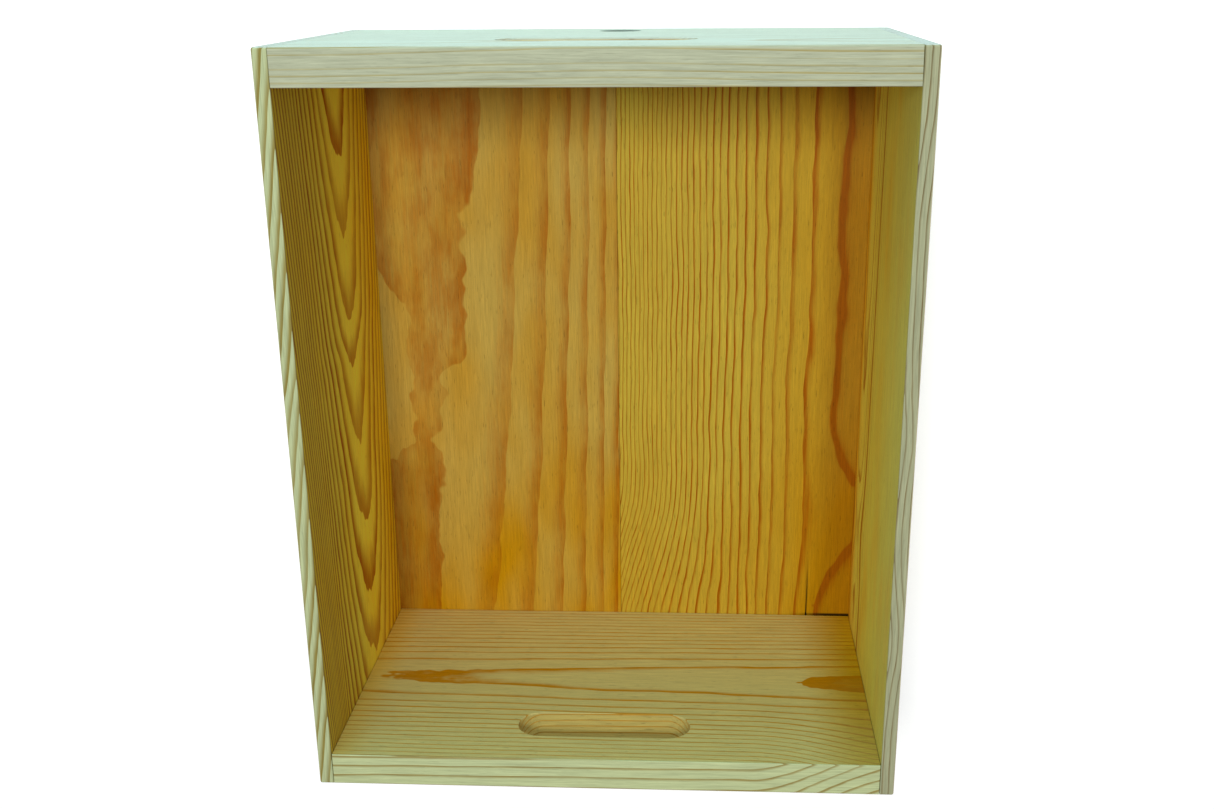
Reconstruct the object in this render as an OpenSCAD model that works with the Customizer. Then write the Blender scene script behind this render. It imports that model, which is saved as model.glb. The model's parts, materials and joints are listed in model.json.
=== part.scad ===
// Beehive box: an open-topped pine hive body with its own floor.
// Two thick end walls stand between two thin side walls, and two boards,
// joined by a tongue and groove, are nailed on from beneath as the floor.
// +Z is up through the open top, -Y is the front with the bee entrance,
// and the origin is the centre of the underside.

/* [Box] */
// Outside length, front to rear
box_length = 512; // [440:1:620]
// Outside width
box_width = 413; // [380:1:500]
// Outside height, underside to rim
box_height = 253; // [235:1:330]
// Chamfer that eases the outside arrises
arris = 1.2; // [0.4:0.1:2]

/* [Boards] */
// Thickness of the front and rear walls
end_wall_t = 24; // [20:1:32]
// Thickness of the left and right walls
side_wall_t = 10; // [8:1:16]
// Thickness of the floor boards
floor_t = 10; // [9:1:14]
// Sideways place of the seam between the floor boards
seam_x = 1.5; // [-10:0.5:10]
// Thickness of the tongue on the seam
tongue_t = 3.2; // [2:0.1:4]
// How far the tongue stands out of its board
tongue_reach = 5; // [3:0.5:8]
// Spare depth of the groove past the tongue
groove_spare = 0.5; // [0.2:0.1:1]

/* [Hand slots] */
// Length of the rear slot, over its round ends
rear_slot_length = 128; // [100:1:160]
// Height of the rear slot
rear_slot_height = 34; // [28:1:44]
// Middle of the rear slot, below the rim
rear_slot_drop = 49; // [30:1:80]
// Sideways place of the rear slot
rear_slot_x = 3; // [-8:0.5:8]
// Length of the front slot, over its round ends
front_slot_length = 133; // [100:1:160]
// Height of the front slot
front_slot_height = 36; // [28:1:44]
// Middle of the front slot, below the rim
front_slot_drop = 85; // [30:1:100]
// Sideways place of the front slot
front_slot_x = 4; // [-8:0.5:8]

/* [Bee entrance] */
// Diameter of the entrance hole in the front wall
entrance_d = 30; // [18:1:32]
// Middle of the entrance, above the underside
entrance_z = 40; // [32:1:60]
// Sideways place of the entrance
entrance_x = -4.5; // [-6:0.5:6]

/* [Corner nails] */
// Nails in each corner, through a side wall into an end wall
corner_nails = 5; // [2:1:6]
// Overall length of a corner nail
corner_nail_length = 50; // [35:1:60]
// Shank diameter of a corner nail
corner_nail_d = 2.5; // [2:0.1:3]
// Head diameter of a corner nail
corner_head_d = 5.6; // [4:0.1:6]

/* [Floor nails] */
// Nails up through each floor board into one end wall
end_nails = 3; // [2:1:4]
// Overall length of a floor nail into an end wall
end_nail_length = 40; // [30:1:44]
// Nails up through one floor board into its side wall
side_nails = 6; // [3:1:8]
// Overall length of a floor nail into a side wall
side_nail_length = 35; // [25:1:44]
// Shank diameter of a floor nail into a side wall
side_nail_d = 1.8; // [1.4:0.1:2.2]
// Head diameter of a floor nail into a side wall
side_head_d = 4; // [3:0.1:4.5]

/* [Hidden] */
$fn = 48;
// A cutter runs this far past the faces it cuts
over = 1;
// A nail's head thickness, the length of its point and the flat on the tip
head_t = 1;
point_length = 4;
tip_d = 0.4;
// First and last corner nail, up from the underside and down from the rim
corner_nail_start = 60;
corner_nail_end = 33;
// First floor nail from the seam, and last from the box's side or end
seam_clear = 40;
end_clear = 36;
side_clear = 56;
wall_height = box_height - floor_t;
half_w = box_width / 2;
half_l = box_length / 2;
end_wall_y = half_l - end_wall_t / 2;
side_wall_x = half_w - side_wall_t / 2;
FRONT = -1;
REAR = 1;
LEFT = -1;
RIGHT = 1;
pine_pale = [0.86, 0.83, 0.62];
pine_gold = [0.78, 0.62, 0.30];
pine_amber = [0.76, 0.53, 0.27];
steel = [0.55, 0.56, 0.58];

// The value number i of count, spread evenly from first to last
function spread(first, last, i, count) = first + (last - first) * i / (count - 1);

// A rectangle about the origin with its four corners cut at 45 degrees
module cut_rectangle(w, h) {
    x = w / 2;
    y = h / 2;
    polygon([
        [x - arris, -y], [x, -y + arris], [x, y - arris], [x - arris, y],
        [arris - x, y], [-x, y - arris], [-x, arris - y], [arris - x, -y]
    ]);
}

// The whole box's outer shape with every outside arris eased
module envelope() {
    intersection() {
        linear_extrude(box_height)
            cut_rectangle(box_width, box_length);
        translate([0, half_l, box_height / 2])
            rotate([90, 0, 0])
                linear_extrude(box_length)
                    cut_rectangle(box_width, box_height);
        translate([-half_w, 0, box_height / 2])
            rotate([90, 0, 90])
                linear_extrude(box_width)
                    cut_rectangle(box_length, box_height);
    }
}

// A hand slot through an end wall, centred on the origin, along Y
module slot_cutter(length, height) {
    depth = end_wall_t + 2 * over;
    straight = length - height;
    cube([straight, depth, height], center = true);
    for (side = [-1, 1])
        translate([side * straight / 2, 0, 0])
            rotate([90, 0, 0])
                cylinder(d = height, h = depth, center = true);
}

// A flat-headed wire nail: the head's face at z = 0, the point up
module nail(length, shank_d, head_d) {
    cylinder(d = head_d, h = head_t);
    cylinder(d = shank_d, h = length - point_length);
    translate([0, 0, length - point_length])
        cylinder(d1 = shank_d, d2 = tip_d, h = point_length);
}

// One corner's column of nails, driven in through the side wall
module corner_row(end, side) {
    for (i = [0:corner_nails - 1])
        translate([
            side * half_w,
            end * end_wall_y,
            spread(corner_nail_start, box_height - corner_nail_end, i, corner_nails)
        ])
            rotate([0, -side * 90, 0])
                nail(corner_nail_length, corner_nail_d, corner_head_d);
}

// The nails up through one floor board into one end wall
module end_row(end, side) {
    for (i = [0:end_nails - 1])
        translate([side * spread(seam_clear, half_w - end_clear, i, end_nails), end * end_wall_y, 0])
            nail(end_nail_length, corner_nail_d, corner_head_d);
}

// The nails up through one floor board into its side wall
module side_row(side) {
    for (i = [0:side_nails - 1])
        translate([side * side_wall_x, spread(side_clear - half_l, half_l - side_clear, i, side_nails), 0])
            nail(side_nail_length, side_nail_d, side_head_d);
}

// A thick end wall, set between the side walls, with its nail holes
module end_wall(end) {
    inner_w = box_width - 2 * side_wall_t;
    difference() {
        intersection() {
            envelope();
            translate([-inner_w / 2, end * end_wall_y - end_wall_t / 2, floor_t])
                cube([inner_w, end_wall_t, wall_height]);
        }
        for (side = [LEFT, RIGHT]) {
            corner_row(end, side);
            end_row(end, side);
        }
    }
}

// A thin side wall over the full length, with its nail holes
module side_wall(side) {
    difference() {
        intersection() {
            envelope();
            translate([side * side_wall_x - side_wall_t / 2, -half_l, floor_t])
                cube([side_wall_t, box_length, wall_height]);
        }
        for (end = [FRONT, REAR])
            corner_row(end, side);
        side_row(side);
    }
}

// A floor board from the seam out to one side, before its seam is worked
module floor_blank(side) {
    seam_to_edge = half_w - side * seam_x;
    difference() {
        intersection() {
            envelope();
            translate([side > 0 ? seam_x : -half_w, -half_l, 0])
                cube([seam_to_edge, box_length, floor_t]);
        }
        for (end = [FRONT, REAR])
            end_row(end, side);
        side_row(side);
    }
}

// A bar along the seam, up to reach past it, longer at each end by past
module seam_bar(reach, past) {
    translate([seam_x - over, -half_l - past, (floor_t - tongue_t) / 2])
        cube([reach + over, box_length + 2 * past, tongue_t]);
}

module front_wall() {
    color(pine_pale)
        difference() {
            end_wall(FRONT);
            translate([front_slot_x, -end_wall_y, box_height - front_slot_drop])
                slot_cutter(front_slot_length, front_slot_height);
            translate([entrance_x, -end_wall_y, entrance_z])
                rotate([90, 0, 0])
                    cylinder(d = entrance_d, h = end_wall_t + 2 * over, center = true);
        }
}

module rear_wall() {
    color(pine_pale)
        difference() {
            end_wall(REAR);
            translate([rear_slot_x, end_wall_y, box_height - rear_slot_drop])
                slot_cutter(rear_slot_length, rear_slot_height);
        }
}

module left_wall() {
    color(pine_gold)
        side_wall(LEFT);
}

module right_wall() {
    color(pine_gold)
        side_wall(RIGHT);
}

module floor_board_left() {
    color(pine_gold)
        union() {
            floor_blank(LEFT);
            seam_bar(tongue_reach, 0);
        }
}

module floor_board_right() {
    color(pine_amber)
        difference() {
            floor_blank(RIGHT);
            seam_bar(tongue_reach + groove_spare, over);
        }
}

module corner_nails_front_left() {
    color(steel) corner_row(FRONT, LEFT);
}

module corner_nails_front_right() {
    color(steel) corner_row(FRONT, RIGHT);
}

module corner_nails_rear_left() {
    color(steel) corner_row(REAR, LEFT);
}

module corner_nails_rear_right() {
    color(steel) corner_row(REAR, RIGHT);
}

module floor_nails_front() {
    color(steel)
        for (side = [LEFT, RIGHT])
            end_row(FRONT, side);
}

module floor_nails_rear() {
    color(steel)
        for (side = [LEFT, RIGHT])
            end_row(REAR, side);
}

module floor_nails_left() {
    color(steel) side_row(LEFT);
}

module floor_nails_right() {
    color(steel) side_row(RIGHT);
}

front_wall();
rear_wall();
left_wall();
right_wall();
floor_board_left();
floor_board_right();
corner_nails_front_left();
corner_nails_front_right();
corner_nails_rear_left();
corner_nails_rear_right();
floor_nails_front();
floor_nails_rear();
floor_nails_left();
floor_nails_right();
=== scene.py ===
"""A pine beehive box with an open top: boards, nails, wood figure, studio floor and camera."""

import json
import math
from collections import namedtuple

import bmesh
import bpy
from mathutils import Euler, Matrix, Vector


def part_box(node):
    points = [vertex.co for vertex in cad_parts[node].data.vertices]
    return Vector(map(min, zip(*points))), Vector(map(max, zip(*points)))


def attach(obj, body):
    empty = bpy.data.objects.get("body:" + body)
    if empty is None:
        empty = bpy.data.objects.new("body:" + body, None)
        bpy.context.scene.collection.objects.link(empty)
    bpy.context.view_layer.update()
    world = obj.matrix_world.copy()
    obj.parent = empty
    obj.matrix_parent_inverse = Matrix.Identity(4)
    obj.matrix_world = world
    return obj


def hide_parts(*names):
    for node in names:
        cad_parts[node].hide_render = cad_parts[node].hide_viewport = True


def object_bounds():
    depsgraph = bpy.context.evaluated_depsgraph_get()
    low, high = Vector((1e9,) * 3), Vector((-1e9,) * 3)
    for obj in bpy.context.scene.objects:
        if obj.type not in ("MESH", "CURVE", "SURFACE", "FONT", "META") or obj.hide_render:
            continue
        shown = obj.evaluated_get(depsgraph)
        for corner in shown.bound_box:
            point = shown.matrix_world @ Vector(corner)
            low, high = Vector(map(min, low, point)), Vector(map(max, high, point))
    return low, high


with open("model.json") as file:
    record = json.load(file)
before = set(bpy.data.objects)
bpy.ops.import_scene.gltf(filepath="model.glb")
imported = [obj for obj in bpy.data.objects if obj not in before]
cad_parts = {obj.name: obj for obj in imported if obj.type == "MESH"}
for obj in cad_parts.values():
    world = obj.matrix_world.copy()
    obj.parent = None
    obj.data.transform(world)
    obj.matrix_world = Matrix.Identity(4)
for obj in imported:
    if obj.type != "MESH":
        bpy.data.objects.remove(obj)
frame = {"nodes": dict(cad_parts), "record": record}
cad_lo, cad_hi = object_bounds()

MM = 0.001

# ---------------------------------------------------------------- sizes, in mm, from the frame


def box_mm(node):
    """(lowest corner, highest corner) of a CAD node in millimetres."""
    lo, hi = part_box(node)
    return lo / MM, hi / MM


HALF_W = cad_hi.x / MM
HALF_L = cad_hi.y / MM
HEIGHT = cad_hi.z / MM
INNER_X = box_mm("right_wall")[0].x
INNER_Y = box_mm("rear_wall")[0].y
FLOOR_TOP = box_mm("rear_wall")[0].z
END_WALL_T = HALF_L - INNER_Y
SIDE_T = HALF_W - INNER_X
# The seam between the floor boards, where the groove side starts
SEAM_X = box_mm("floor_board_right")[0].x

# Rounding of the outside arrises, of the rim's inner edges and of every other edge
ARRIS = 1.6
RIM_EASE = 0.6
JOINT_EASE = 0.3
# Gap left at each glued or nailed joint, and the wider one round the rear wall
JOINT_GAP = 0.08
REAR_GAP = 0.35

# Length and height of each hand slot
FRONT_SLOT = (133, 36)
REAR_SLOT = (128, 34)
# Rounding of the mouths of the slots and the bee entrance, and of a nail's dimple
MOUTH_ROUND = 0.6
DIMPLE_ROUND = 0.25
ROUND_STEPS = 2
# Plain face kept round a slot, the bee entrance and a dimple before the face's grid starts
SLOT_MARGIN = 5
ENTRANCE_MARGIN = 4
DIMPLE_MARGIN = 1.2
# Points round the outline of a slot, the bee entrance and a dimple
SLOT_POINTS = 64
ENTRANCE_POINTS = 48
DIMPLE_POINTS = 32

# Tongue on the left floor board's seam, and what the groove is deeper and wider by
TONGUE_T = 3.2
TONGUE_REACH = 5.0
GROOVE_DEEPER = 0.5
GROOVE_WIDER = 0.2

# Room round a nail's head, and depth of the dimple it sits in
HEAD_ROOM = 0.22
HEAD_DIMPLE = 1.0

# End check in the left floor board: its sideways place, its width and its length
END_CHECK = (-159.5, 1.3, 64)
CHECK_STEPS = 6
# How far the check wanders sideways, through what angle in radians over its length,
# and the power of the curve that narrows it to its tip
CHECK_WANDER = 0.5
CHECK_TURNS = 5.5
CHECK_TAPER = 0.7
# How many check widths it leans from the top face to the underside
CHECK_LEAN = 2
# Plain face kept beside the check, in check widths, and past its tip
CHECK_BESIDE = 4
CHECK_BEYOND = 4

# How far the front wall's left end is out of square at the rim
SAWN_OFF = 0.35
# How far the rear wall's lower left corner stops short of the floor
PLANED_SHORT = 1.3

# An edge this near a face of the box, or of its board, counts as on it
ON_BOX = 0.2
ON_BOARD = 0.001
# How near a board's corner a point is when the corner is moved
NEAR_CORNER = 1
# Two points this near are one
SAME_POINT = 1e-6
# Decimals of a millimetre to which grid lines are matched
GRID_PLACES = 4
# Faces that meet at a smaller angle than this, in degrees, are shaded as one
SMOOTH_ANGLE = 40
EDGE_SEGMENTS = 4

# ---------------------------------------------------------------- mesh of a board

# cell is the (a0, a1, b0, b1) patch of the board's face that holds an opening.
# ring gives the outline at an offset, in four arcs. mouths are the roundings at
# the low and high faces, None where the opening doesn't reach. floor is the
# depth coordinate where a blind opening ends.
Opening = namedtuple("Opening", "cell ring mouths floor")


def stadium(a, b, straight, radius, margin, mouths, points, floor=None):
    """An opening with round ends, or a round one where straight is 0."""

    def ring(offset):
        arcs = [[], [], [], []]
        for k in range(points):
            angle = math.radians(-45 + 360 * k / points)
            across, up = math.cos(angle), math.sin(angle)
            at_top_or_bottom = abs(across) < SAME_POINT
            sides = [math.copysign(1, across)]
            if at_top_or_bottom and straight > 0:
                sides = [1, -1] if up > 0 else [-1, 1]
            for side in sides:
                point = (
                    a + side * straight / 2 + (radius + offset) * across,
                    b + (radius + offset) * up,
                )
                arcs[4 * k // points].append(point)
        return arcs

    reach = radius + margin
    cell = (a - straight / 2 - reach, a + straight / 2 + reach, b - reach, b + reach)
    return Opening(cell, ring, mouths, floor)


def quarter_round(radius):
    """(offset, depth) pairs of a round-over, from the face to the wall."""
    turns = [k * math.pi / 2 / ROUND_STEPS for k in range(ROUND_STEPS + 1)]
    return [(radius * (1 - math.sin(t)), radius * (1 - math.cos(t))) for t in turns]


def lines_across(span, edges):
    """The sorted places of the grid lines over a span."""
    return sorted({round(e, GRID_PLACES) for e in (*span, *edges)})


class Board:
    """A board as one closed mesh: two gridded faces, the sides between them, and lofted openings.

    a and b run over the board's face and c through its thickness. place turns them into
    a point in millimetres. lip is the profile of the side at the highest a, and notch
    an end check (a, width, length) in the side at the highest b."""

    def __init__(self, place, span_a, span_b, span_c, openings=(), lip=(), notch=None):
        self.place = place
        self.spans = (span_a, span_b, span_c)
        self.openings = openings
        self.lip = lip
        self.notch = notch
        self.bm = bmesh.new()
        self.where = {}
        cells = [o.cell for o in openings]
        if notch:
            cells.append(self.notch_cell())
        self.lines_a = lines_across(span_a, [e for c in cells for e in c[:2]])
        self.lines_b = lines_across(span_b, [e for c in cells for e in c[2:]])
        self.grid = [
            [[self.vert(a, b, c) for b in self.lines_b] for a in self.lines_a]
            for c in span_c
        ]
        for level in (0, 1):
            self.fill_face(level)
        for opening in openings:
            self.loft(opening)
        self.close_sides()
        if notch:
            self.open_notch()
        bmesh.ops.recalc_face_normals(self.bm, faces=self.bm.faces)

    def vert(self, a, b, c):
        """A new vertex, with its a, b and c kept for the rounding."""
        made = self.bm.verts.new(Vector(self.place(a, b, c)) * MM)
        self.where[made] = (a, b, c)
        return made

    def notch_cell(self):
        """The patch of the face that holds the end check."""
        a, width, length = self.notch
        beside = CHECK_BESIDE * width
        end = self.spans[1][1]
        return (a - beside, a + beside, end - length - CHECK_BEYOND, end)

    def span_of(self, cell):
        """The grid indices (i0, i1, j0, j1) of a cell's edges."""
        a0, a1, b0, b1 = (round(e, GRID_PLACES) for e in cell)
        return (
            self.lines_a.index(a0),
            self.lines_a.index(a1),
            self.lines_b.index(b0),
            self.lines_b.index(b1),
        )

    def fill_face(self, level):
        """Quads over the grid, except where an opening or the notch is."""
        taken = [self.span_of(o.cell) for o in self.openings if o.mouths[level] is not None]
        if self.notch:
            taken.append(self.span_of(self.notch_cell()))
        g = self.grid[level]
        for i in range(len(self.lines_a) - 1):
            for j in range(len(self.lines_b) - 1):
                if any(i0 <= i < i1 and j0 <= j < j1 for i0, i1, j0, j1 in taken):
                    continue
                self.bm.faces.new((g[i][j], g[i + 1][j], g[i + 1][j + 1], g[i][j + 1]))

    def cell_sides(self, level, cell):
        """The grid vertices along a cell's right, top, left and bottom side."""
        i0, i1, j0, j1 = self.span_of(cell)
        g = self.grid[level]
        right = [g[i1][j] for j in range(j0, j1 + 1)]
        top = [g[i][j1] for i in range(i1, i0 - 1, -1)]
        left = [g[i0][j] for j in range(j1, j0 - 1, -1)]
        bottom = [g[i][j0] for i in range(i0, i1 + 1)]
        return right, top, left, bottom

    def ring_verts(self, opening, offset, c):
        """The vertices of an opening's outline, in its four arcs."""
        return [[self.vert(a, b, c) for a, b in arc] for arc in opening.ring(offset)]

    def bridge(self, ring, following):
        """Quads between two rings of the same count."""
        first, second = sum(ring, []), sum(following, [])
        for k in range(len(first)):
            n = (k + 1) % len(first)
            self.bm.faces.new((first[k], first[n], second[n], second[k]))

    def mouth(self, opening, level):
        """The rounded mouth on one face, joined to its cell. Gives the last ring."""
        radius = opening.mouths[level]
        face_c = self.spans[2][level]
        inward = 1 if level == 0 else -1
        rings = [
            self.ring_verts(opening, offset, face_c + inward * depth)
            for offset, depth in quarter_round(radius)
        ]
        for k, side in enumerate(self.cell_sides(level, opening.cell)):
            arc = rings[0][k] + rings[0][(k + 1) % 4][:1]
            self.bm.faces.new(side + arc[::-1])
        for ring, following in zip(rings, rings[1:]):
            self.bridge(ring, following)
        return rings[-1]

    def loft(self, opening):
        """The wall of an opening, between its mouths or down to its floor."""
        reached = [self.mouth(opening, k) for k in (0, 1) if opening.mouths[k] is not None]
        if opening.floor is None:
            self.bridge(*reached)
            return
        bottom = self.ring_verts(opening, 0, opening.floor)
        self.bridge(reached[0], bottom)
        self.bm.faces.new(sum(bottom, []))

    def lip_chain(self, j):
        """The vertices up the side at the highest a, on grid line j."""
        a, b = self.spans[0][1], self.lines_b[j]
        between = [self.vert(a + out, b, c) for out, c in self.lip]
        return [self.grid[0][-1][j], *between, self.grid[1][-1][j]]

    def close_sides(self):
        """The four sides between the faces, with the lip on one of them."""
        low, high = self.grid
        last_a, last_b = len(self.lines_a) - 1, len(self.lines_b) - 1
        chains = [self.lip_chain(j) for j in range(last_b + 1)]
        for j in range(last_b):
            self.bm.faces.new((low[0][j], low[0][j + 1], high[0][j + 1], high[0][j]))
            for k in range(len(chains[j]) - 1):
                here, after = chains[j], chains[j + 1]
                self.bm.faces.new((here[k], after[k], after[k + 1], here[k + 1]))
        notch_i = self.span_of(self.notch_cell())[0] if self.notch else None
        for j in (0, last_b):
            for i in range(last_a - 1):
                if j == last_b and i == notch_i:
                    continue
                self.bm.faces.new((low[i][j], low[i + 1][j], high[i + 1][j], high[i][j]))
            self.bm.faces.new((low[last_a - 1][j], *chains[j], high[last_a - 1][j]))

    def open_notch(self):
        """The end check: a crack that narrows to nothing, wandering a little and leaning."""
        a, width, length = self.notch
        end = self.spans[1][1]
        paths = []
        for level, c in enumerate(self.spans[2]):
            start = a if level else a + CHECK_LEAN * width
            right, left = [], []
            for k in range(CHECK_STEPS):
                t = k / CHECK_STEPS
                middle = start + CHECK_WANDER * math.sin(CHECK_TURNS * t) * t
                half = width / 2 * (1 - t) ** CHECK_TAPER
                right.append(self.vert(middle + half, end - length * t, c))
                left.append(self.vert(middle - half, end - length * t, c))
            tip = self.vert(start + CHECK_WANDER * math.sin(CHECK_TURNS), end - length, c)
            sides = self.cell_sides(level, self.notch_cell())
            outline = sides[2] + sides[3][1:] + sides[0][1:]
            self.bm.faces.new(outline + right + [tip] + left[::-1])
            paths.append(left + [tip] + right[::-1])
        low, high = paths
        for k in range(len(low) - 1):
            self.bm.faces.new((low[k], low[k + 1], high[k + 1], high[k]))
        i0, i1, _, j1 = self.span_of(self.notch_cell())
        g = self.grid
        self.bm.faces.new((g[0][i0][j1], low[0], high[0], g[1][i0][j1]))
        self.bm.faces.new((low[-1], g[0][i1][j1], g[1][i1][j1], high[-1]))

    def ease(self, edge):
        """How far this edge of the board is rounded."""
        ends = [self.where[v] for v in edge.verts]
        on_edge = sum(
            any(all(abs(end[k] - s) < ON_BOARD for end in ends) for s in span)
            for k, span in enumerate(self.spans)
        )
        if on_edge < 2:
            return 0
        points = [v.co / MM for v in edge.verts]
        outside = sum(
            all(abs(from_face(p)) < ON_BOX for p in points)
            for from_face in (
                lambda p: abs(p.x) - HALF_W,
                lambda p: abs(p.y) - HALF_L,
                lambda p: p.z - HEIGHT,
                lambda p: p.z,
            )
        )
        if outside >= 2:
            return ARRIS
        if all(p.z > HEIGHT - ON_BOX for p in points):
            return RIM_EASE
        return JOINT_EASE

    def finish(self, name, tweak=None):
        """Turns the board into an object with its edges rounded."""
        weight = self.bm.edges.layers.float.new("bevel_weight_edge")
        for edge in self.bm.edges:
            eased = self.ease(edge)
            edge[weight] = eased / ARRIS
            turn = edge.calc_face_angle(0)
            edge.smooth = eased > 0 or turn < math.radians(SMOOTH_ANGLE)
        if tweak:
            for v, (a, b, c) in self.where.items():
                v.co += Vector(tweak(a, b, c)) * MM
        for face in self.bm.faces:
            face.smooth = True
        mesh = bpy.data.meshes.new(name)
        self.bm.to_mesh(mesh)
        self.bm.free()
        made = bpy.data.objects.new(name, mesh)
        bpy.context.scene.collection.objects.link(made)
        bevel = made.modifiers.new("eased_edges", "BEVEL")
        bevel.limit_method = "WEIGHT"
        bevel.width = ARRIS * MM
        bevel.segments = EDGE_SEGMENTS
        bevel.use_clamp_overlap = False
        normals = made.modifiers.new("flat_faces", "WEIGHTED_NORMAL")
        normals.keep_sharp = True
        return made


# ---------------------------------------------------------------- what the boards hold


def nail_places(node):
    """The middle and size of each nail's box in a CAD node, in millimetres."""
    bm = bmesh.new()
    bm.from_mesh(frame["nodes"][node].data)
    bmesh.ops.remove_doubles(bm, verts=bm.verts, dist=SAME_POINT)
    unseen = set(bm.verts)
    places = []
    while unseen:
        one_nail, waiting = set(), [unseen.pop()]
        while waiting:
            v = waiting.pop()
            one_nail.add(v)
            for e in v.link_edges:
                other = e.other_vert(v)
                if other in unseen:
                    unseen.discard(other)
                    waiting.append(other)
        lo = Vector([min(v.co[k] for v in one_nail) for k in range(3)]) / MM
        hi = Vector([max(v.co[k] for v in one_nail) for k in range(3)]) / MM
        places.append(((lo + hi) / 2, hi - lo))
    bm.free()
    return sorted(places, key=lambda p: tuple(p[0]))


def dimple(a, b, head_d, level, face_c):
    """The shallow hole that a nail's head sits in."""
    mouths = (DIMPLE_ROUND, None) if level == 0 else (None, DIMPLE_ROUND)
    floor = face_c + (HEAD_DIMPLE if level == 0 else -HEAD_DIMPLE)
    radius = head_d / 2 + HEAD_ROOM
    return stadium(a, b, 0, radius, DIMPLE_MARGIN, mouths, DIMPLE_POINTS, floor)


def opening_centre(name):
    """The middle of one of the record's openings, in millimetres."""
    for opening in frame["record"]["physics"]["openings"]:
        if opening["name"] == name:
            lo, hi = (Vector(corner) for corner in opening["box_m"])
            return (lo + hi) / 2 / MM
    raise ValueError(name)


def entrance_circle():
    """x, z and the radius of the record's bee entrance, in millimetres."""
    mount = next(m for m in frame["record"]["mounts"] if m["name"] == "entrance")
    x, _, z = mount["pos_m"]
    return x / MM, z / MM, mount["dims"]["r_mm"]


def hand_slot(name, size):
    """A slot with round ends, right through an end wall."""
    middle = opening_centre(name)
    length, height = size
    mouths = (MOUTH_ROUND, MOUTH_ROUND)
    straight, radius = length - height, height / 2
    return stadium(middle.x, middle.z, straight, radius, SLOT_MARGIN, mouths, SLOT_POINTS)


def bee_entrance():
    """The round hole low in the front wall."""
    mouths = (MOUTH_ROUND, MOUTH_ROUND)
    x, z, radius = entrance_circle()
    return stadium(x, z, 0, radius, ENTRANCE_MARGIN, mouths, ENTRANCE_POINTS)


def end_wall(node, openings, gap, tweak=None):
    """The front or rear wall: its face is x and z, its thickness y."""
    lo, hi = box_mm(node)
    span_a = (lo.x + gap, hi.x - gap)
    span_b = (lo.z + gap, hi.z)
    board = Board(lambda a, b, c: (a, c, b), span_a, span_b, (lo.y, hi.y), openings)
    return board.finish(node + "_board", tweak)


def side_wall(node, outer, nail_nodes):
    """The left or right wall: its face is y and z, its thickness x.

    outer is which of its two faces the nails are driven into, 0 the lower x or 1."""
    lo, hi = box_mm(node)
    face = (lo.x, hi.x)[outer]
    holes = [
        dimple(middle.y, middle.z, size.y, outer, face)
        for nails in nail_nodes
        for middle, size in nail_places(nails)
    ]
    span_b = (lo.z + JOINT_GAP, hi.z)
    board = Board(lambda a, b, c: (c, a, b), (lo.y, hi.y), span_b, (lo.x, hi.x), holes)
    return board.finish(node + "_board")


def floor_board(node, side, lip, notch=None):
    """A floor board: a runs from its outer side to the seam, b is y and c is z.

    side is -1 for the left board and 1 for the right."""
    lo, hi = box_mm(node)
    holes = []
    own_nails = "floor_nails_left" if side < 0 else "floor_nails_right"
    for nails in ("floor_nails_front", "floor_nails_rear", own_nails):
        for middle, size in nail_places(nails):
            if middle.x * side > 0:
                holes.append(dimple(-side * middle.x, middle.y, size.x, 0, lo.z))
    span_a = (-HALF_W, -side * SEAM_X - JOINT_GAP)
    span_c = (lo.z, hi.z)
    board = Board(
        lambda a, b, c: (-side * a, b, c), span_a, (lo.y, hi.y), span_c, holes, lip, notch
    )
    return board.finish(node + "_board")


def seam_profile(reach, thickness):
    """The tongue, or with a negative reach the groove, as (out, c) points."""
    middle = FLOOR_TOP / 2
    low, high = middle - thickness / 2, middle + thickness / 2
    return [(0, low), (reach, low), (reach, high), (0, high)]


def out_of_square(a, b, c):
    """The front wall's left end is sawn a hair out of square, so its joint opens at the rim."""
    if a < -INNER_X + NEAR_CORNER and c < -HALF_L + NEAR_CORNER:
        return (SAWN_OFF * (b - FLOOR_TOP) / (HEIGHT - FLOOR_TOP), 0, 0)
    return (0, 0, 0)


def short_of_floor(a, b, c):
    """The rear wall's lower left corner is planed a hair short, so its joint opens there."""
    at_foot = b < FLOOR_TOP + NEAR_CORNER
    if a < -INNER_X + NEAR_CORNER and at_foot and c < INNER_Y + NEAR_CORNER:
        return (0, 0, PLANED_SHORT)
    return (0, 0, 0)


front_openings = [hand_slot("front_hand_slot", FRONT_SLOT), bee_entrance()]
rear_openings = [hand_slot("rear_hand_slot", REAR_SLOT)]
front = end_wall("front_wall", front_openings, JOINT_GAP, out_of_square)
rear = end_wall("rear_wall", rear_openings, REAR_GAP, short_of_floor)
left = side_wall("left_wall", 0, ("corner_nails_front_left", "corner_nails_rear_left"))
right = side_wall("right_wall", 1, ("corner_nails_front_right", "corner_nails_rear_right"))
floor_left = floor_board(
    "floor_board_left",
    -1,
    seam_profile(TONGUE_REACH, TONGUE_T),
    notch=END_CHECK,
)
floor_right = floor_board(
    "floor_board_right",
    1,
    seam_profile(-TONGUE_REACH - GROOVE_DEEPER, TONGUE_T + GROOVE_WIDER),
)

# ---------------------------------------------------------------- material nodes


def srgb(r, g, b):
    """A linear colour from display values out of 255."""

    def linear(v):
        v /= 255
        return v / 12.92 if v <= 0.04045 else ((v + 0.055) / 1.055) ** 2.4

    return (linear(r), linear(g), linear(b), 1)


# Where a colour Mix node has its factor and its two colours, and its result
MIX_INPUTS = (0, 6, 7)
MIX_RESULT = 2
# Stretches centred noise to about -1 to 1
SWAY_GAIN = 2.6


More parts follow.
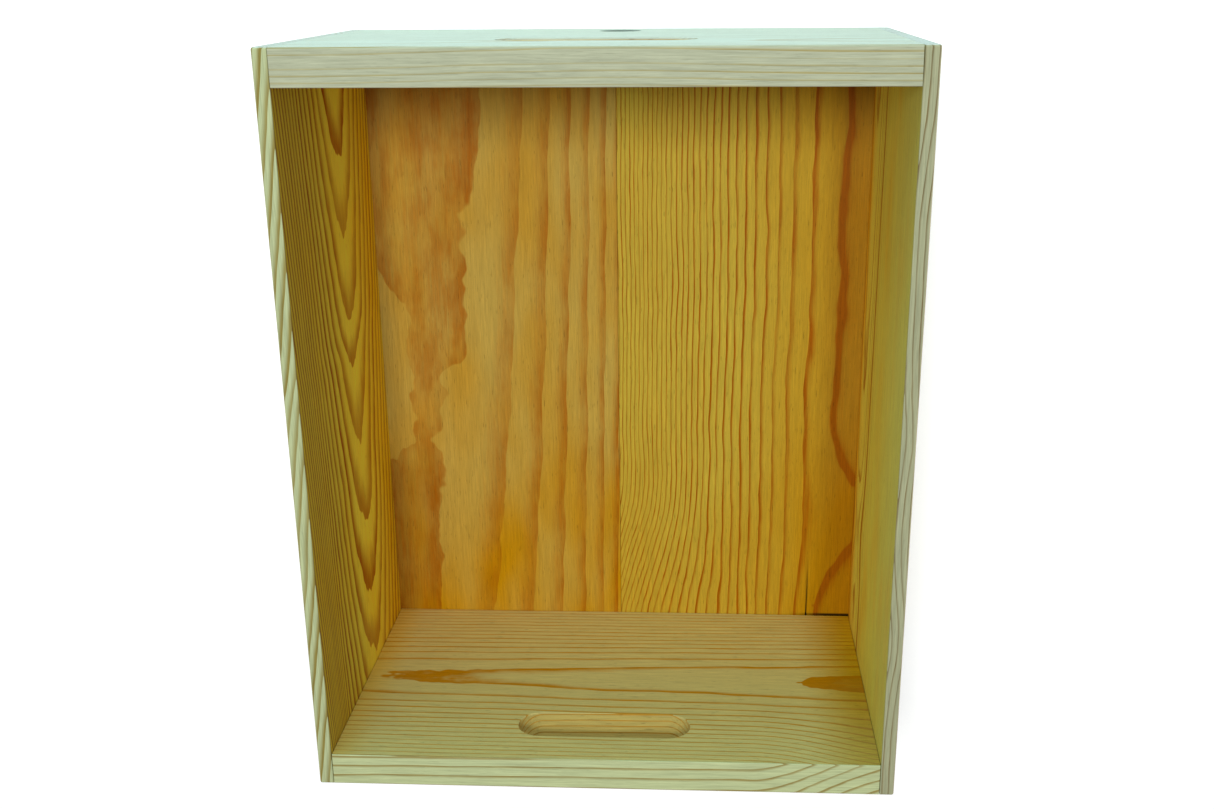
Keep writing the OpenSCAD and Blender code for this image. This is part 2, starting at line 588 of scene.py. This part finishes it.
class Value:
    """A node's output that takes part in plain arithmetic."""

    def __init__(self, graph, socket):
        self.graph = graph
        self.socket = socket

    def __add__(self, other):
        return self.graph.math("ADD", self, other)

    def __sub__(self, other):
        return self.graph.math("SUBTRACT", self, other)

    def __rsub__(self, other):
        return self.graph.math("SUBTRACT", other, self)

    def __mul__(self, other):
        return self.graph.math("MULTIPLY", self, other)

    def __truediv__(self, other):
        return self.graph.math("DIVIDE", self, other)

    __radd__ = __add__
    __rmul__ = __mul__


class Graph:
    """A new material and the nodes in it."""

    def __init__(self, name):
        self.material = bpy.data.materials.new(name)
        self.material.use_nodes = True
        self.nodes = self.material.node_tree.nodes
        self.links = self.material.node_tree.links
        self.nodes.clear()

    def add(self, kind, **settings):
        node = self.nodes.new(kind)
        for key, value in settings.items():
            setattr(node, key, value)
        return node

    def feed(self, socket, value):
        if isinstance(value, Value):
            self.links.new(value.socket, socket)
        else:
            socket.default_value = value

    def math(self, operation, *inputs):
        node = self.add("ShaderNodeMath", operation=operation)
        for socket, value in zip(node.inputs, inputs):
            self.feed(socket, value)
        return Value(self, node.outputs[0])

    def position(self):
        """x, y and z in millimetres."""
        coords = self.add("ShaderNodeTexCoord")
        split = self.add("ShaderNodeSeparateXYZ")
        self.links.new(coords.outputs["Object"], split.inputs[0])
        return [Value(self, out) / MM for out in split.outputs]

    def smooth(self, value, start, end, low=0.0, high=1.0):
        """low up to start, high past end, and an easy curve between."""
        node = self.add("ShaderNodeMapRange", interpolation_type="SMOOTHSTEP")
        for socket, given in zip(node.inputs, (value, start, end, low, high)):
            self.feed(socket, given)
        return Value(self, node.outputs[0])

    def bell(self, value, middle, half_width):
        """1 at the middle, falling to nothing over a couple of half widths."""
        away = (value - middle) / half_width
        return self.math("EXPONENT", away * away * -1.0)

    def noise(self, x, y, z, detail=2.0, roughness=0.5):
        """Noise from 0 to 1 that changes over one unit of x, y and z."""
        joined = self.add("ShaderNodeCombineXYZ")
        for socket, value in zip(joined.inputs, (x, y, z)):
            self.feed(socket, value)
        node = self.add("ShaderNodeTexNoise")
        self.links.new(joined.outputs[0], node.inputs["Vector"])
        node.inputs["Scale"].default_value = 1.0
        node.inputs["Detail"].default_value = detail
        node.inputs["Roughness"].default_value = roughness
        return Value(self, node.outputs[0])

    def sway(self, u, v, w, across, along, seed):
        """Noise from about -1 to 1 that changes over so many mm across and along the grain."""
        drawn = self.noise(u / across + seed, v / along, w / across, 1.0)
        return (drawn - 0.5) * SWAY_GAIN

    def chance(self, value):
        """A random number from 0 to 1 for each whole number."""
        node = self.add("ShaderNodeTexWhiteNoise", noise_dimensions="1D")
        self.feed(node.inputs["W"], value)
        return Value(self, node.outputs["Value"])

    def mix(self, factor, first, second):
        """A colour between two."""
        node = self.add("ShaderNodeMix", data_type="RGBA", clamp_factor=True)
        for index, value in zip(MIX_INPUTS, (factor, first, second)):
            self.feed(node.inputs[index], value)
        return Value(self, node.outputs[MIX_RESULT])

    def dim(self, colour, factor):
        """A colour made lighter or darker by a factor."""
        node = self.add("ShaderNodeVectorMath", operation="SCALE")
        self.feed(node.inputs[0], colour)
        self.feed(node.inputs["Scale"], factor)
        return Value(self, node.outputs[0])

    def surface(self, colour, roughness, height_mm, **constants):
        """Ends the graph with a shader, a bump map and the output."""
        bump = self.add("ShaderNodeBump")
        bump.inputs["Distance"].default_value = MM
        self.feed(bump.inputs["Height"], height_mm)
        shader = self.add("ShaderNodeBsdfPrincipled")
        self.feed(shader.inputs["Base Color"], colour)
        self.feed(shader.inputs["Roughness"], roughness)
        self.links.new(bump.outputs[0], shader.inputs["Normal"])
        for key, value in constants.items():
            shader.inputs[key.replace("_", " ")].default_value = value
        output = self.add("ShaderNodeOutputMaterial")
        self.links.new(shader.outputs[0], output.inputs[0])
        return self.material


# ---------------------------------------------------------------- figure of each board
# u is across the board's inner face, v along the grain and w into the board, in mm.
# Each figure gives the growth ring number, a whole number where dark latewood ends,
# and how much a dark or pale patch of its own adds to the latewood. Most numbers are
# places or distances on that board in mm, set to follow the lines of the real wood.


def growth(g, u, w, pith_u, pith_depth):
    """Distance from the pith, which lies behind the board."""
    across, depth = u - pith_u, pith_depth - w
    return g.math("SQRT", across * across + depth * depth)


def front_figure(g, u, v, w):
    """Rings that bow a little, one of them faint."""
    bow = g.bell(v, 215, 120) * 3.4
    waves = g.sway(u, v, w, 60, 170, 3.1) + g.sway(u, v, w, 9, 60, 8.7) * 0.3
    radius = growth(g, u, w, 183, 200) + bow + waves
    ring = (radius - 121.9) / 4.05
    faint = g.bell(ring, 17.85, 0.3)
    return ring, faint * -0.85


def rear_figure(g, u, v, w):
    """A long pale tongue with a ragged dark tip, a blunt dark one at the far end, and rings that drop."""
    drop = g.smooth(v, 300, 415) * g.smooth(u, 145, 243) * 20
    waves = g.sway(u, v, w, 50, 150, 1.3) * 0.9 + g.sway(u, v, w, 8, 40, 5.2) * 0.35
    blunt = (g.smooth(v, 338, 356) * 0.5 + g.smooth(v, 350, 393) * 0.6) * g.bell(u, 122, 22)
    tip = g.bell(v, 55, 42) * g.bell(u, 122, 16)
    far_tip = g.smooth(v, 325, 345) * g.bell(u, 122, 18)
    ragged = g.sway(u, v, w, 7, 10, 4.9) * (tip * 0.42 + far_tip * 0.4)
    radius = growth(g, u, w, 122, 90.3 - v * 0.0115) - drop + waves - blunt + ragged
    ring = (radius - 86) / 4.3 + 10
    heart = g.bell(v, 66, 20) * g.bell(u, 121, 7)
    far_fill = g.smooth(ring, 10.0, 9.96) * far_tip
    return ring, far_fill * 0.8 + heart * 0.6 - tip * 0.05


def right_wall_figure(g, u, v, w):
    """Pointed rings, one inside the other, with uneven steps between their points."""
    spread = v * g.smooth(u, 180, 243) * 0.06
    uneven = g.smooth(v, 175, 208) * 1.5 - g.smooth(v, 285, 335) + g.smooth(v, 390, 450) * 0.5
    waves = g.sway(u, v, w, 45, 130, 2.4) + g.sway(u, v, w, 9, 30, 9.1) * 0.45
    radius = growth(g, u, w, 95, 146 + v * 0.07) + spread + uneven + waves
    return (radius - 150.1) / 4.1 + 20, 0.0


def left_wall_figure(g, u, v, w):
    """Pointed rings near the floor, dark streaks above them, and faint rings that run out at the rim."""
    knee = g.bell(v, 365, 40) * 5
    waves = g.sway(u, v, w, 60, 120, 4.4) * 0.9 + g.sway(u, v, w, 9, 30, 6.3) * 0.5
    run_out = w * 0.62 + g.smooth(v, -24, 90) * 6 - g.bell(v, 222, 30) * 3
    radius = growth(g, u, w, 30, 66 + v * 0.02) + knee + waves - run_out * g.smooth(u, 190, 243)
    fade = g.smooth(radius, 80, 100) * g.smooth(u, 243, 230)
    # The last term is painted shade along the wall's foot, where it meets the floor
    streak = g.bell(radius, 83.5, 1.5) + g.bell(radius, 92, 1.0) * 0.4 + g.bell(u, 1, 4) * 0.5
    return (radius - 67.2) / 4.0 + 10, streak - fade * 0.38


def floor_left_figure(g, u, v, w):
    """Close rings that swing to the seam at the rear, and wide ones with a dark band at the side."""
    swing = g.smooth(v, 330, 490) * g.smooth(u, 110, 0) * 26
    bulge = g.bell(v, 370, 45) * g.smooth(u, 150, 190) * 7
    dip = g.smooth(v, 400, 470) * g.smooth(u, 130, 168) * 5
    waves = g.sway(u, v, w, 45, 110, 7.7) * 1.5 + g.sway(u, v, w, 9, 30, 3.6) * 0.5
    ripple = g.sway(u, v, w, 18, 34, 2.9) * 0.6
    past = growth(g, u, w, 215, 100) - swing + bulge - dip + waves + ripple - 112
    ring = past * (past * 0.00105 + 0.098) + 10.45
    band = g.bell(ring, 9.9, 0.08) * 0.75
    pin_knot = g.bell(u, 167, 1.3) * g.bell(v, 455, 1.3)
    return ring, band + g.smooth(u, 158, 190) * 0.32 + pin_knot * 0.6


def floor_right_figure(g, u, v, w):
    """Wide wavy rings that fan out, and a ragged dark patch with a pale tongue in it at the side."""
    flare = g.smooth(u, 20, 90) * g.smooth(u, 110, 185, 1.0, 0.4)
    fan = (v - 233) / 231 * flare * 6.5
    end = v + g.sway(u, v, w, 12, 30, 2.2) * 14
    tongue = g.smooth(end, 125, 205) * g.smooth(end, 330, 306)
    patch = g.smooth(u, 45, 15) * (1 - tongue) * 4.5
    waves = g.sway(u, v, w, 40, 48, 5.5) * 1.15
    ragged = g.sway(u, v, w, 13, 15, 1.9) * g.smooth(u, 110, 50, 0.2, 0.65)
    bay = g.bell(v, 215, 34) * g.bell(u, 62, 24) * 2.1
    spur = g.bell(v, 250, 9) * g.bell(u, 60, 14) * 1.3
    past = growth(g, u, w, 38, 200) + fan - patch + waves + ragged - bay + spur - 200.7
    calm = g.smooth(u, 85, 45) * g.smooth(v, 20, 110) * g.smooth(v, 360, 300)
    return past * (past * 0.00048 + 0.084) + 20, calm * -0.28


def right_wall_warmth(g, u, v, broad):
    """Patchy, and warmer toward the floor and toward the rim."""
    patches = g.smooth(broad, 0.4, 0.7) * 0.3
    return patches + g.smooth(u, 120, 0) * 0.6 + g.smooth(u, 130, 230) * 0.5


def floor_left_warmth(g, u, v, broad):
    """Patchy, and warmer toward the side and toward the rear."""
    placed = g.smooth(u, 80, 190) * 0.7 + g.smooth(v, 250, 464) * 0.4
    return placed + (broad - 0.5) * 0.6


def floor_left_contrast(g, u, v):
    """Lines that come and go, and are fainter where the dark band starts."""
    steady = 1.1 + g.bell(u, 75, 32) * 0.4
    by_band = g.smooth(u, 163, 176) * g.smooth(v, 430, 380) * 0.6
    return steady * (1.0 - by_band) * (g.noise(u / 3, v / 80, 4.0) * 1.8 + 0.1)


def floor_left_shade_and_tone(g, u, v):
    """Darker at the side, partly the wood's own and partly painted shade by the side wall, painted shade
    along the end check and in the open joint, and darker in bits of the seam.
    """
    check = g.bell(u, 161, 0.8) * g.smooth(v, 395, 450) * 0.7
    joint = g.smooth(v, 461.6, 463.2) * g.smooth(u, 140, 180) * 0.75
    seam = g.bell(u, 0.2, 0.5) * g.smooth(g.noise(v / 9, 2.0, 0.0), 0.55, 0.7) * 0.6
    return g.smooth(u, 155, 178) * -0.19 - check - joint - seam


def floor_right_shade_and_tone(g, u, v):
    """Painted shade against the side wall, and darker wood in the rear part of the patch."""
    patch = g.smooth(v, 300, 345) * g.smooth(u, 60, 25)
    return g.smooth(u, 26, 0) * -0.2 - patch * 0.12


# Grain: how a board's u, v and w come from x, y and z, its figure, where in a ring the
# latewood starts and is full, how far streaks feather that start, how patchy the
# latewood is, how far the wood turns warmer, how strong the latewood is and how far
# the wood is lightened or darkened at a place, mostly by painted light and shade.
Grain = namedtuple("Grain", "axes figure late feather mottle warmth contrast pale")
# Look: display colours of the wood inside the box (its pale earlywood, that wood where
# it is warmer, and its latewood), partly the wood's own and partly painted warm light
# bouncing inside the box, of the rim (wood and latewood) and of the outside.
# The last field is how far the inner face turns greenish toward the rim, a painted cool light near the
# rim.
Look = namedtuple("Look", "early warm late rim rim_late outside tinge")

GRAIN = {
    "front": Grain(
        axes=lambda x, y, z: (z - FLOOR_TOP, INNER_X - x, -INNER_Y - y),
        figure=front_figure,
        late=(0.62, 0.95),
        feather=0.25,
        mottle=0.2,
        warmth=lambda g, u, v, broad: g.smooth(broad, 0.35, 0.75) * 0.5,
        contrast=lambda g, u, v: g.smooth(v, 150, 393, 0.9, 1.4),
        pale=lambda g, u, v: 0.0,
    ),
    "rear": Grain(
        axes=lambda x, y, z: (z - FLOOR_TOP, INNER_X - x, y - INNER_Y),
        figure=rear_figure,
        late=(0.68, 0.92),
        feather=0.2,
        mottle=0.25,
        # Warmer toward both ends: painted warm shade in the corners
        warmth=lambda g, u, v, broad: g.smooth(v, 30, 0) * 0.6 + g.smooth(v, 340, 390),
        contrast=lambda g, u, v: g.smooth(u, 110, 200, 1.2, 1.5),
        # Painted light toward the floor, and painted shade toward the far corner
        pale=lambda g, u, v: g.smooth(u, 150, 0) * 0.22 - g.smooth(v, 340, 393) * 0.28,
    ),
    "left": Grain(
        axes=lambda x, y, z: (z - FLOOR_TOP, y + INNER_Y, -INNER_X - x),
        figure=left_wall_figure,
        late=(0.62, 0.95),
        feather=0.3,
        mottle=0.3,
        warmth=lambda g, u, v, broad: g.smooth(u, 26, 0) * 0.8 + g.smooth(broad, 0.45, 0.75) * 0.4,
        contrast=lambda g, u, v: 1.0,
        # Lighter toward the floor, partly paler wood and partly painted bounce light, and painted light
        # away from the front wall's shade
        pale=lambda g, u, v: g.smooth(u, 110, 0) * 0.16 + g.smooth(v, 60, 200) * 0.06,
    ),
    "right": Grain(
        axes=lambda x, y, z: (z - FLOOR_TOP, y + INNER_Y, x - INNER_X),
        figure=right_wall_figure,
        late=(0.28, 0.92),
        feather=0.2,
        mottle=0.15,
        warmth=right_wall_warmth,
        contrast=lambda g, u, v: g.smooth(u, 90, 190, 1.0, 1.3),
        # Painted light: lighter toward the floor and in a band at mid height, darker toward the rim
        pale=lambda g, u, v: 0.12 + g.bell(u, 95, 32) * 0.1 - g.smooth(u, 60, 230) * 0.34,
    ),
    "floor_left": Grain(
        axes=lambda x, y, z: (SEAM_X - x, y + INNER_Y, FLOOR_TOP - z),
        figure=floor_left_figure,
        late=(0.60, 0.96),
        feather=0.3,
        mottle=0.2,
        warmth=floor_left_warmth,
        contrast=floor_left_contrast,
        pale=floor_left_shade_and_tone,
    ),
    "floor_right": Grain(
        axes=lambda x, y, z: (INNER_X - x, y + INNER_Y, FLOOR_TOP - z),
        figure=floor_right_figure,
        late=(0.36, 0.99),
        feather=0.5,
        mottle=0.4,
        warmth=lambda g, u, v, broad: g.smooth(broad, 0.35, 0.7) * 0.6 + g.smooth(v, 250, 464) * 0.5,
        contrast=lambda g, u, v: 1.0,
        pale=floor_right_shade_and_tone,
    ),
}

LOOK = {
    "front": Look(
        early=(200, 184, 104),
        warm=(200, 164, 50),
        late=(165, 105, 20),
        rim=(178, 179, 150),
        rim_late=(162, 148, 96),
        # The front's outside is cooler than the other boards': the wood's own colour with painted cool
        # light from the window side
        outside=(196, 205, 188),
        tinge=0.2,
    ),
    "rear": Look(
        early=(202, 184, 114),
        warm=(204, 160, 24),
        late=(184, 124, 0),
        rim=(190, 196, 146),
        rim_late=(154, 138, 82),
        outside=(212, 203, 170),
        tinge=0.2,
    ),
    "left": Look(
        early=(228, 220, 96),
        warm=(234, 174, 4),
        late=(172, 104, 0),
        rim=(168, 167, 132),
        rim_late=(104, 76, 22),
        outside=(214, 203, 168),
        tinge=0.28,
    ),
    "right": Look(
        early=(240, 226, 86),
        warm=(244, 200, 4),
        late=(166, 86, 0),
        rim=(184, 190, 144),
        rim_late=(144, 128, 66),
        outside=(214, 204, 170),
        tinge=0.12,
    ),
    "floor_left": Look(
        early=(202, 176, 62),
        warm=(190, 136, 2),
        late=(164, 92, 0),
        rim=(176, 178, 149),
        rim_late=(150, 138, 108),
        outside=(212, 200, 164),
        tinge=0.0,
    ),
    "floor_right": Look(
        early=(197, 167, 78),
        warm=(196, 141, 4),
        late=(168, 96, 0),
        rim=(176, 178, 149),
        rim_late=(150, 138, 108),
        outside=(213, 202, 168),
        tinge=0.0,
    ),
}
# Boards whose grain runs front to rear, so that their ends are at the box's front and rear
ALONG_Y = ("left", "right", "floor_left", "floor_right")
# Painted cool light on the walls' inner faces toward the rim: its greenish colour, and the height at
# which it starts
COOL_LIGHT_TINT = (160, 190, 135)
COOL_LIGHT_FROM = 110
# Golden colour where the end walls are cut, partly the cut wood's own and partly painted warm light
# bouncing inside the hand slots, and how far it turns to it
CUT_WOOD_AND_BOUNCE = (178, 148, 60)
CUT_WOOD_AND_BOUNCE_SHARE = 0.6
# Depths into an end wall between which the cut wood turns golden, and then lighter with painted light
# that lifts the shade deep in the hand slots
CUT_WOOD_AND_BOUNCE_AT = (0.6, 2.0)
PAINTED_DEEP_LIGHT_AT = (9, 14)
PAINTED_DEEP_LIGHT = 1.3
# Painted shade in the bee entrance's bore, a dark grey-green
PAINTED_BORE_SHADE = (130, 144, 132)
# How far past the bore's edge the painted shade fades out, and how deep it is full
PAINTED_BORE_SHADE_EDGE = (0.6, 0.3)
PAINTED_BORE_SHADE_DEPTH = (0.3, 0.8)
# Colour of the side walls' and floor boards' sawn ends at the front, partly the end grain's own and
# partly painted cool light on the window side
END_GRAIN_COOL_LIGHT = (196, 204, 192)
# Depths below a face where its own colour starts and where it is full
SIDE_SKIN = (1.0, 0.3)
END_WALL_SKIN = (1.8, 0.8)
RIM_SKIN = (1.4, 0.5)
SAWN_SKIN = (0.6, 0.2)
# Share of a ring over which its latewood stops
RING_STOP = (1.0, 0.97)
# The faintest ring's strength, and how much stronger the others may be
RING_LEAST = 0.65
RING_SPREAD = 0.35
# How much of the latewood's colour shows outside and on the sawn ends
OUTSIDE_SHARE = 0.5
SAWN_SHARE = 0.4
# How far the streaks, fibres, threads and dark dashes in the wood change its shade,
# how much fainter the dashes are on the rim, and how much darker the sawn ends are
STREAK_SHADE = 0.3
FIBRE_SHADE = 0.6
THREAD_SHADE = 0.5
DASH_SHADE = 0.26
DASH_LESS_AT_RIM = 0.18
SAWN_SHADE = 0.05
SPECULAR = 0.06


def near(g, place, face, skin):
    """1 at a face and nothing below its skin."""
    return g.smooth(place, face - skin[0], face - skin[1])


def latewood(g, grain, u, v, w, streak):
    """How far the wood is dark latewood, from 0 to 1."""
    ring, accent = grain.figure(g, u, v, w)
    number = g.math("FLOOR", ring)
    within = ring - number
    feathered = within + (streak - 0.5) * grain.feather
    late = g.smooth(feathered, *grain.late) * g.smooth(within, *RING_STOP)
    late = late * (g.chance(number) * RING_SPREAD + RING_LEAST) * grain.contrast(g, u, v)
    patches = g.noise(u / 14 + 2.0, v / 50, w / 14, 3.0, 0.6)
    late = late * g.smooth(patches, 0.62, 0.38, 1.0 - grain.mottle, 1.0) + accent
    return g.math("MINIMUM", g.math("MAXIMUM", late, 0.0), 1.0)


def inside_colour(g, key, u, v, w, z, late):
    """The colour of the wood inside the box, and of the openings in the end walls, with painted light and
    shade laid on it.
    """
    grain, look = GRAIN[key], LOOK[key]
    broad = g.noise(u / 55 + 3.0, v / 150, w / 55, 2.0)
    colour = g.mix(grain.warmth(g, u, v, broad), srgb(*look.early), srgb(*look.warm))
    if key not in ALONG_Y:
        # Cut faces of the end walls: golden, partly painted warm bounce light, then lighter deep in the
        # slots with painted light
        colour = g.mix(g.smooth(w, *CUT_WOOD_AND_BOUNCE_AT) * CUT_WOOD_AND_BOUNCE_SHARE, colour, srgb(*CUT_WOOD_AND_BOUNCE))
        colour = g.dim(colour, g.smooth(w, *PAINTED_DEEP_LIGHT_AT, 1.0, PAINTED_DEEP_LIGHT))
    # Painted light and shade, with a little of the wood's own tone, lighten or darken the colour here
    colour = g.dim(g.mix(late, colour, srgb(*look.late)), 1.0 + grain.pale(g, u, v))
    # Painted cool light: the inner face turns greenish toward the rim
    return g.mix(g.smooth(z, COOL_LIGHT_FROM, HEIGHT) * look.tinge, colour, srgb(*COOL_LIGHT_TINT))


def bore_shade_mask(g, x, z, w):
    """How far the painted shade covers the front board inside the bee entrance."""
    centre_x, centre_z, radius = entrance_circle()
    across, up = x - centre_x, z - centre_z
    out = g.math("SQRT", across * across + up * up) - radius
    return g.smooth(out, *PAINTED_BORE_SHADE_EDGE) * g.smooth(w, *PAINTED_BORE_SHADE_DEPTH)


def pine(key):
    """The wood of one board, with its own growth rings through its whole thickness."""
    grain, look = GRAIN[key], LOOK[key]
    g = Graph("pine_" + key)
    x, y, z = g.position()
    u, v, w = grain.axes(x, y, z)
    # Noise drawn out along the grain: long streaks, fibres, fine threads and short dashes
    streak = g.noise(u / 2.6 + 5.0, v / 60, w / 2.6, 2.0, 0.55)
    fibre = g.noise(u * 1.1, v * 0.03, w * 1.1, 3.0, 0.6)
    thread = g.noise(u * 4.5 + 7.0, v * 0.09, w * 4.5, 2.0, 0.6)
    dash = g.smooth(g.noise(u * 0.9 + 11.0, v * 0.1, w * 0.9, 1.0), 0.66, 0.74)
    late = latewood(g, grain, u, v, w, streak)
    outside = g.mix(late * OUTSIDE_SHARE, srgb(*look.outside), srgb(*look.rim_late))
    thickness, skin = (SIDE_T, SIDE_SKIN) if key in ALONG_Y else (END_WALL_T, END_WALL_SKIN)
    colour = inside_colour(g, key, u, v, w, z, late)
    colour = g.mix(near(g, w, thickness, skin), colour, outside)
    if key == "front":
        # Painted shade inside the bee entrance's bore
        colour = g.mix(bore_shade_mask(g, x, z, w), colour, srgb(*PAINTED_BORE_SHADE))
    at_rim = near(g, z, HEIGHT, RIM_SKIN)
    colour = g.mix(at_rim, colour, g.mix(late, srgb(*look.rim), srgb(*look.rim_late)))
    shade = (streak - 0.5) * STREAK_SHADE + (fibre - 0.5) * FIBRE_SHADE
    shade = shade + (thread - 0.5) * THREAD_SHADE + 1.0
    shade = shade - dash * (DASH_SHADE - at_rim * DASH_LESS_AT_RIM)
    if key in ALONG_Y:
        at_end = near(g, g.math("ABSOLUTE", y), HALF_L, SAWN_SKIN)
        at_edge = near(g, g.math("ABSOLUTE", x), HALF_W, SIDE_SKIN)
        # Front ends: end grain with painted cool light from the window side
        end_grain_cool_lit = g.mix(late * SAWN_SHARE, srgb(*END_GRAIN_COOL_LIGHT), srgb(*look.rim_late))
        colour = g.mix(at_edge, colour, outside)
        colour = g.mix(at_end, colour, outside)
        colour = g.mix(at_end * g.smooth(y, 1, -1), colour, end_grain_cool_lit)
        shade = shade * (1.0 - at_end * SAWN_SHADE)
    height = late * 0.03 + fibre * 0.05 + thread * 0.03 - dash * 0.05
    roughness = fibre * 0.16 + 0.46 - late * 0.08
    return g.surface(g.dim(colour, shade), roughness, height, Specular_IOR_Level=SPECULAR)


def nail_steel():
    """Bright drawn wire, a little dulled."""
    g = Graph("nail_steel")
    x, y, z = g.position()
    grime = g.noise(x * 0.6, y * 0.6, z * 0.6, 3.0, 0.6)
    scratch = g.noise(x * 2.0, y * 9.0, z * 2.0, 2.0, 0.6)
    colour = g.mix(g.smooth(grime, 0.4, 0.7), srgb(176, 178, 180), srgb(120, 114, 106))
    roughness = grime * 0.3 + 0.25
    height = scratch * 0.03 + grime * 0.04
    return g.surface(colour, roughness, height, Metallic=0.9)


BOARDS = {
    "front": (front, "front_wall", "end_wall_pine"),
    "rear": (rear, "rear_wall", "end_wall_pine"),
    "left": (left, "left_wall", "side_wall_pine"),
    "right": (right, "right_wall", "side_wall_pine"),
    "floor_left": (floor_left, "floor_board_left", "floor_pine"),
    "floor_right": (floor_right, "floor_board_right", "floor_pine"),
}
for key, (piece, node, slot) in BOARDS.items():
    piece.data.materials.append(pine(key))
    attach(piece, "root")
    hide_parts(node)

steel = nail_steel()
for node, nails in frame["nodes"].items():
    if "nails" in node:
        nails.data.materials.clear()
        nails.data.materials.append(steel)

# ---------------------------------------------------------------- studio

FLOOR_REACH = 30.0
WORLD_STRENGTH = 0.35
# Each light's place, the point it faces, its size, its power and its colour
WINDOW = ((0.3, -2.4, 1.0), (0, 0, 0.1), 1.5, 28, (0.42, 0.88, 1.0))
OVERHEAD = ((0.12, -0.62, 2.5), (0, 0, 0), 0.5, 33, (1.0, 1.0, 1.0))
# The camera, solved from the box's edges and vanishing points; its turn is in degrees
CAMERA_PLACE = (-0.0678, -0.2982, 1.1105)
CAMERA_TURN = (-19.705, 2.800, 179.634)
CAMERA_LENS = 41.12
CAMERA_SHIFT = (-0.0231, 0.0507)


def studio_floor():
    """A plain pale floor, well past what the camera sees."""
    g = Graph("studio_floor")
    x, y, z = g.position()
    speck = g.noise(x * 0.02, y * 0.02, z * 0.02, 2.0)
    colour = g.mix(speck, srgb(252, 252, 252), srgb(250, 250, 250))
    material = g.surface(colour, 0.8, 0.0, Emission_Color=(1, 1, 1, 1), Emission_Strength=0.3)
    mesh = bpy.data.meshes.new("studio_floor")
    quarters = ((-1, -1), (1, -1), (1, 1), (-1, 1))
    corners = [(FLOOR_REACH * across, FLOOR_REACH * along, 0) for across, along in quarters]
    mesh.from_pydata(corners, [], [(0, 1, 2, 3)])
    mesh.materials.append(material)
    made = bpy.data.objects.new("studio_floor", mesh)
    bpy.context.scene.collection.objects.link(made)


def soft_light(name, place, aim, size, watts, colour):
    """A square area light at a place, turned to face a point."""
    light = bpy.data.lights.new(name, "AREA")
    light.size = size
    light.energy = watts
    light.color = colour
    made = bpy.data.objects.new(name, light)
    made.location = place
    made.rotation_euler = (Vector(aim) - Vector(place)).to_track_quat("-Z", "Y").to_euler()
    bpy.context.scene.collection.objects.link(made)


def studio():
    """The floor, an even white world and two soft lights."""
    studio_floor()
    world = bpy.data.worlds.new("studio")
    world.use_nodes = True
    backdrop = world.node_tree.nodes["Background"]
    backdrop.inputs["Color"].default_value = (1.0, 1.0, 1.0, 1)
    backdrop.inputs["Strength"].default_value = WORLD_STRENGTH
    bpy.context.scene.world = world
    soft_light("window", *WINDOW)
    soft_light("overhead", *OVERHEAD)
    bpy.context.scene.view_settings.view_transform = "Standard"


def camera():
    """The view down into the box from above its front wall."""
    data = bpy.data.cameras.new("camera")
    data.sensor_width = 36
    data.sensor_fit = "HORIZONTAL"
    data.lens = CAMERA_LENS
    data.shift_x, data.shift_y = CAMERA_SHIFT
    data.clip_start = 0.01
    made = bpy.data.objects.new("camera", data)
    made.location = CAMERA_PLACE
    made.rotation_euler = Euler([math.radians(turn) for turn in CAMERA_TURN])
    bpy.context.scene.collection.objects.link(made)
    bpy.context.scene.camera = made


studio()
camera()
